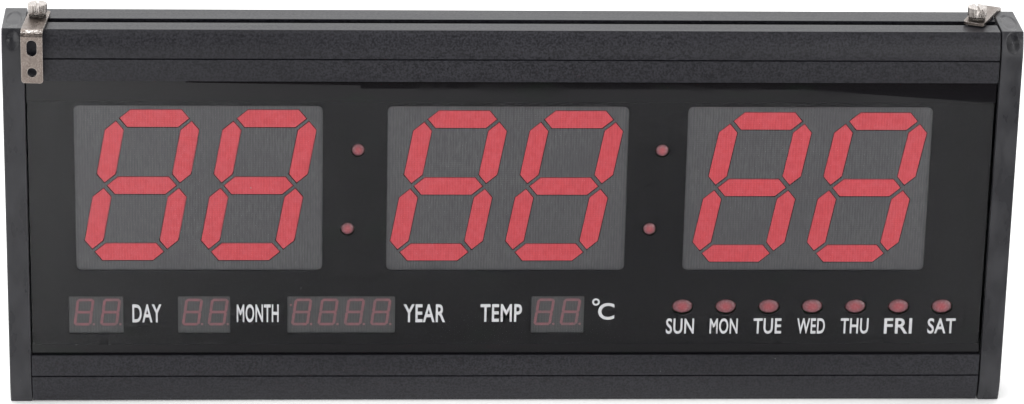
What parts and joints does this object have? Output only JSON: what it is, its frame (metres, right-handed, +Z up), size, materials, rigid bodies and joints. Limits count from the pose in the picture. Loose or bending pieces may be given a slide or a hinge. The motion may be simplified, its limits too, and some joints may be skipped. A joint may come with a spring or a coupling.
{
  "type": "wall and desk clock timer",
  "caption": "Long flat red-digit clock timer in a dark extruded case, with a calendar row, weekday lamps, rear buttons and sliding swivel hangers in its top slot.",
  "frame": {"origin": "under the axis of the top slot at the middle of the case's length, on the surface that its end caps stand on", "axes": "+X along the case to the viewer's right, +Y from the front to the back, +Z up"},
  "size_m": [0.4808, 0.0473, 0.1981],
  "materials": {
    "coated_aluminium": "dark grey coated extrusion, satin with a fine grain",
    "cap_plastic": "dark grey moulded plastic, faintly glossy",
    "zinc_steel": "zinc plated steel",
    "lens_acrylic": "clear acrylic sheet, glossy",
    "mask_film": "black printed film",
    "rear_panel": "black laminate panel, fine texture",
    "display_face": "grey display face, fine mesh",
    "segment_resin": "red diffusing resin, unlit",
    "lamp_resin": "red tinted lamp resin, unlit",
    "board_laminate": "green circuit board with solder mask",
    "chip_epoxy": "black moulding epoxy",
    "black_plastic": "black moulded plastic",
    "cell_steel": "stainless steel can",
    "nickel_plate": "nickel plated steel, satin on the flats"
  },
  "bodies": {
    "root": {"top_rail": "coated_aluminium", "bottom_rail": "coated_aluminium", "left_end_cap": "cap_plastic", "right_end_cap": "cap_plastic", "left_cap_screw_upper": "zinc_steel", "left_cap_screw_lower": "zinc_steel", "right_cap_screw_upper": "zinc_steel", "right_cap_screw_lower": "zinc_steel", "front_lens": "lens_acrylic", "window_mask": "mask_film", "rear_panel": "rear_panel", "hours_display_frame": "display_face", "minutes_display_frame": "display_face", "seconds_display_frame": "display_face", "day_display": "display_face", "month_display": "display_face", "year_display": "display_face", "temperature_display": "display_face", "hours_tens_segments": "segment_resin", "hours_units_segments": "segment_resin", "minutes_tens_segments": "segment_resin", "minutes_units_segments": "segment_resin", "seconds_tens_segments": "segment_resin", "seconds_units_segments": "segment_resin", "hours_colon_upper_lamp": "lamp_resin", "hours_colon_lower_lamp": "lamp_resin", "minutes_colon_upper_lamp": "lamp_resin", "minutes_colon_lower_lamp": "lamp_resin", "sunday_lamp": "lamp_resin", "monday_lamp": "lamp_resin", "tuesday_lamp": "lamp_resin", "wednesday_lamp": "lamp_resin", "thursday_lamp": "lamp_resin", "friday_lamp": "lamp_resin", "saturday_lamp": "lamp_resin", "display_board": "board_laminate", "controller_chip": "chip_epoxy", "driver_chip": "chip_epoxy", "temperature_sensor": "chip_epoxy", "alarm_buzzer": "black_plastic", "backup_cell_holder": "black_plastic", "dc_power_jack": "black_plastic", "set_switch": "black_plastic", "up_switch": "black_plastic", "down_switch": "black_plastic", "alarm_switch": "black_plastic", "backup_cell": "cell_steel"},
    "left_nut": {"left_slot_nut": "zinc_steel"},
    "left_bracket": {"left_hanger_bracket": "nickel_plate"},
    "left_washer_body": {"left_washer": "zinc_steel"},
    "left_screw": {"left_thumbscrew": "nickel_plate"},
    "right_nut": {"right_slot_nut": "zinc_steel"},
    "right_bracket": {"right_hanger_bracket": "nickel_plate"},
    "right_washer_body": {"right_washer": "zinc_steel"},
    "right_screw": {"right_thumbscrew": "nickel_plate"},
    "set_key": {"set_button": "black_plastic"},
    "up_key": {"up_button": "black_plastic"},
    "down_key": {"down_button": "black_plastic"},
    "alarm_key": {"alarm_button": "black_plastic"}
  },
  "joints": [
    {"name": "left_hanger_slide", "type": "slide", "parent": "root", "child": "left_nut", "axis": [1, 0, 0], "range_m": [0, 0.205]},
    {"name": "left_hanger_swivel", "type": "hinge", "parent": "left_nut", "child": "left_bracket", "pos_m": [-0.2242, 0, 0.19], "axis": [0, 0, 1], "range_deg": [-21, 30]},
    {"name": "left_screw_lift", "type": "slide", "parent": "left_nut", "child": "left_washer_body", "axis": [0, 0, 1], "range_m": [0, 0.0014]},
    {"name": "left_screw_turn", "type": "hinge", "parent": "left_washer_body", "child": "left_screw", "pos_m": [-0.2242, 0, 0.195], "axis": [0, 0, 1], "range_deg": [-5, 725]},
    {"name": "right_hanger_slide", "type": "slide", "parent": "root", "child": "right_nut", "axis": [-1, 0, 0], "range_m": [-0.0045, 0.205]},
    {"name": "right_hanger_swivel", "type": "hinge", "parent": "right_nut", "child": "right_bracket", "pos_m": [0.2199, 0, 0.19], "axis": [0, 0, 1], "range_deg": [-3, 54]},
    {"name": "right_screw_lift", "type": "slide", "parent": "right_nut", "child": "right_washer_body", "axis": [0, 0, 1], "range_m": [0, 0.0014]},
    {"name": "right_screw_turn", "type": "hinge", "parent": "right_washer_body", "child": "right_screw", "pos_m": [0.2199, 0, 0.195], "axis": [0, 0, 1], "range_deg": [-5, 725]},
    {"name": "set_press", "type": "slide", "parent": "root", "child": "set_key", "axis": [0, -1, 0], "range_m": [0, 0.0006], "stiffness_N_per_m": 500},
    {"name": "up_press", "type": "slide", "parent": "root", "child": "up_key", "axis": [0, -1, 0], "range_m": [0, 0.0006], "stiffness_N_per_m": 500},
    {"name": "down_press", "type": "slide", "parent": "root", "child": "down_key", "axis": [0, -1, 0], "range_m": [0, 0.0006], "stiffness_N_per_m": 500},
    {"name": "alarm_press", "type": "slide", "parent": "root", "child": "alarm_key", "axis": [0, -1, 0], "range_m": [0, 0.0006], "stiffness_N_per_m": 500}
  ],
  "couplings": [
    {"joint": "left_screw_turn", "follows": "left_screw_lift", "rad_per_m": 8976},
    {"joint": "right_screw_turn", "follows": "right_screw_lift", "rad_per_m": 8976}
  ]
}
